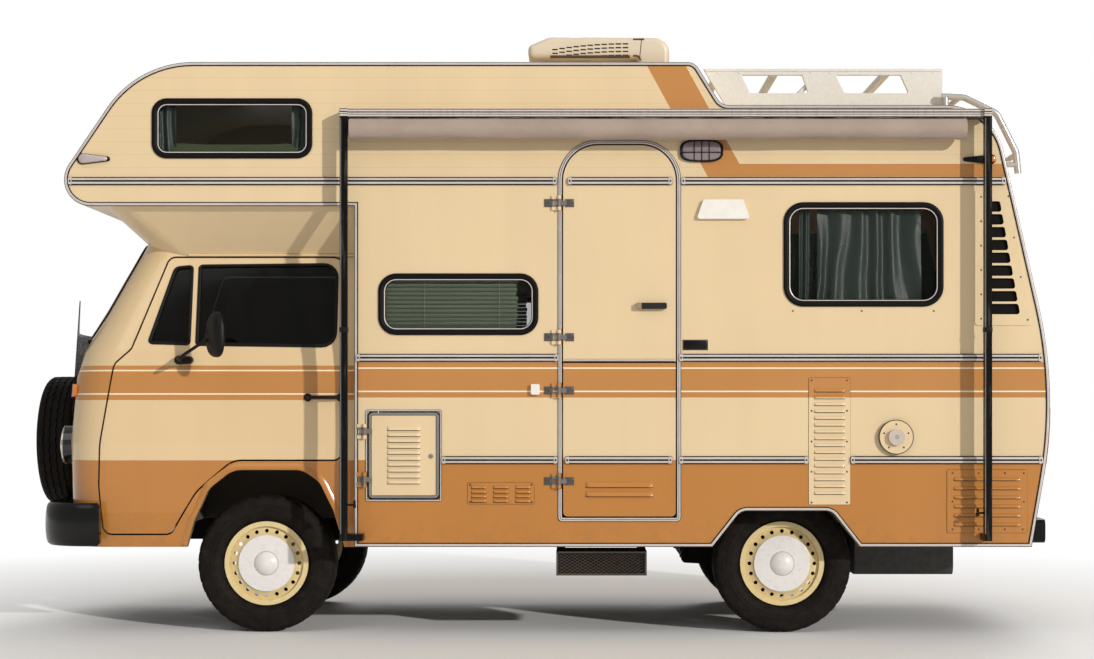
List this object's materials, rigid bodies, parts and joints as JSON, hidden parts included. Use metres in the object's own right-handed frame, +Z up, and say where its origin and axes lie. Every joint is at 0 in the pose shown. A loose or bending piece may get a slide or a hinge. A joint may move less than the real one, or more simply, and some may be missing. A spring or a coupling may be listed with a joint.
{
  "type": "motorhome",
  "caption": "Small coachbuilt motorhome on a rear-engined van cab, with a bed alcove over the cab, rolled side awning, roof rack, turning wheels, steering and opening doors.",
  "frame": {"origin": "on the ground, half way between the axles, on the centre line", "axes": "+X to the rear, +Y to the right-hand side as seen from behind, +Z up"},
  "size_m": [4.831, 2.24, 2.8589],
  "materials": {
    "coach_panel": "satin",
    "cab_panel": "gloss",
    "louvre_metal": "satin",
    "white_plastic": "satin",
    "rack_paint": "satin",
    "black_paint": "gloss",
    "floor_paint": "satin",
    "engine_metal": "rough",
    "rim_paint": "gloss",
    "tyre_rubber": "matte",
    "black_plastic": "matte",
    "glass": "clear",
    "smoked_plastic": "gloss",
    "lamp_glass": "gloss",
    "amber_lens": "gloss",
    "red_lens": "gloss",
    "steel_tube": "satin",
    "canvas": "woven",
    "curtain_fabric": "woven",
    "mattress_fabric": "woven",
    "seat_fabric": "woven"
  },
  "bodies": {
    "body": {"chassis_frame": "black_paint", "front_axle_beam": "black_paint", "rear_axle": "black_paint", "engine_block": "engine_metal", "cab_shell": "cab_panel", "cab_floor": "cab_panel", "dashboard": "black_plastic", "cab_seats": "seat_fabric", "windscreen": "glass", "front_bumper": "black_paint", "rear_bumper": "black_paint", "nose_grille": "black_plastic", "spare_tyre": "tyre_rubber", "spare_rim": "rim_paint", "headlamps": "lamp_glass", "front_indicators": "amber_lens", "tail_lamps": "red_lens", "marker_lamps": "amber_lens", "stone_guard": "smoked_plastic", "coach_floor": "floor_paint", "coach_wall_left": "coach_panel", "coach_wall_right": "coach_panel", "coach_rear_wall": "coach_panel", "coach_front_wall": "coach_panel", "coach_roof": "coach_panel", "alcove_floor": "coach_panel", "alcove_mattress": "mattress_fabric", "cab_fairing": "coach_panel", "coach_windows": "glass", "curtains": "curtain_fabric", "rear_air_grilles": "black_plastic", "louvre_plates": "louvre_metal", "awning_frame": "black_paint", "awning_roll": "canvas", "roof_air_conditioner": "white_plastic", "roof_rack": "rack_paint", "roof_skylight": "white_plastic", "roof_ladder": "steel_tube", "side_fittings": "white_plastic", "entry_step": "black_paint"},
    "cab_door_left": {"cab_door_left": "cab_panel", "door_glass_left": "glass", "door_mirror_left": "black_plastic"},
    "front_knuckle_left": {"front_knuckle_left": "black_paint"},
    "front_wheel_left": {"tyre_front_left": "tyre_rubber", "rim_front_left": "rim_paint"},
    "rear_wheel_left": {"tyre_rear_left": "tyre_rubber", "rim_rear_left": "rim_paint"},
    "cab_door_right": {"cab_door_right": "cab_panel", "door_glass_right": "glass", "door_mirror_right": "black_plastic"},
    "front_knuckle_right": {"front_knuckle_right": "black_paint"},
    "front_wheel_right": {"tyre_front_right": "tyre_rubber", "rim_front_right": "rim_paint"},
    "rear_wheel_right": {"tyre_rear_right": "tyre_rubber", "rim_rear_right": "rim_paint"},
    "entrance_door_upper": {"entrance_door_upper": "coach_panel"},
    "entrance_door_lower": {"entrance_door_lower": "coach_panel"},
    "locker_door": {"locker_door": "coach_panel"},
    "engine_lid": {"engine_lid": "cab_panel"}
  },
  "joints": [
    {"name": "steer_left", "type": "hinge", "parent": "body", "child": "front_knuckle_left", "pos_m": [-1.2, -0.59, 0.32], "axis": [0, 0, 1], "range_deg": [-28, 28]},
    {"name": "front_wheel_left_spin", "type": "hinge", "parent": "front_knuckle_left", "child": "front_wheel_left", "pos_m": [-1.2, -0.6925, 0.32], "axis": [0, 1, 0], "continuous": true},
    {"name": "rear_wheel_left_spin", "type": "hinge", "parent": "body", "child": "rear_wheel_left", "pos_m": [1.2, -0.7125, 0.32], "axis": [0, 1, 0], "continuous": true},
    {"name": "cab_door_left_hinge", "type": "hinge", "parent": "body", "child": "cab_door_left", "pos_m": [-1.97, -0.88, 1.1], "axis": [0, 0, -1], "range_deg": [0, 65]},
    {"name": "steer_right", "type": "hinge", "parent": "body", "child": "front_knuckle_right", "pos_m": [-1.2, 0.59, 0.32], "axis": [0, 0, 1], "range_deg": [-28, 28]},
    {"name": "front_wheel_right_spin", "type": "hinge", "parent": "front_knuckle_right", "child": "front_wheel_right", "pos_m": [-1.2, 0.6925, 0.32], "axis": [0, 1, 0], "continuous": true},
    {"name": "rear_wheel_right_spin", "type": "hinge", "parent": "body", "child": "rear_wheel_right", "pos_m": [1.2, 0.7125, 0.32], "axis": [0, 1, 0], "continuous": true},
    {"name": "cab_door_right_hinge", "type": "hinge", "parent": "body", "child": "cab_door_right", "pos_m": [-1.97, 0.88, 1.1], "axis": [0, 0, 1], "range_deg": [0, 65]},
    {"name": "entrance_door_upper_hinge", "type": "hinge", "parent": "body", "child": "entrance_door_upper", "pos_m": [0.1655, -0.986, 1.6715], "axis": [0, 0, -1], "range_deg": [0, 100]},
    {"name": "entrance_door_lower_hinge", "type": "hinge", "parent": "body", "child": "entrance_door_lower", "pos_m": [0.1655, -0.986, 0.9165], "axis": [0, 0, -1], "range_deg": [0, 100]},
    {"name": "locker_door_hinge", "type": "hinge", "parent": "body", "child": "locker_door", "pos_m": [-0.721, -0.986, 0.827], "axis": [0, 0, -1], "range_deg": [0, 90]},
    {"name": "engine_lid_hinge", "type": "hinge", "parent": "body", "child": "engine_lid", "pos_m": [2.416, 0, 1.022], "axis": [0, -1, 0], "range_deg": [0, 60]}
  ],
  "couplings": [
    {"joint": "steer_right", "follows": "steer_left", "ratio": 1}
  ]
}
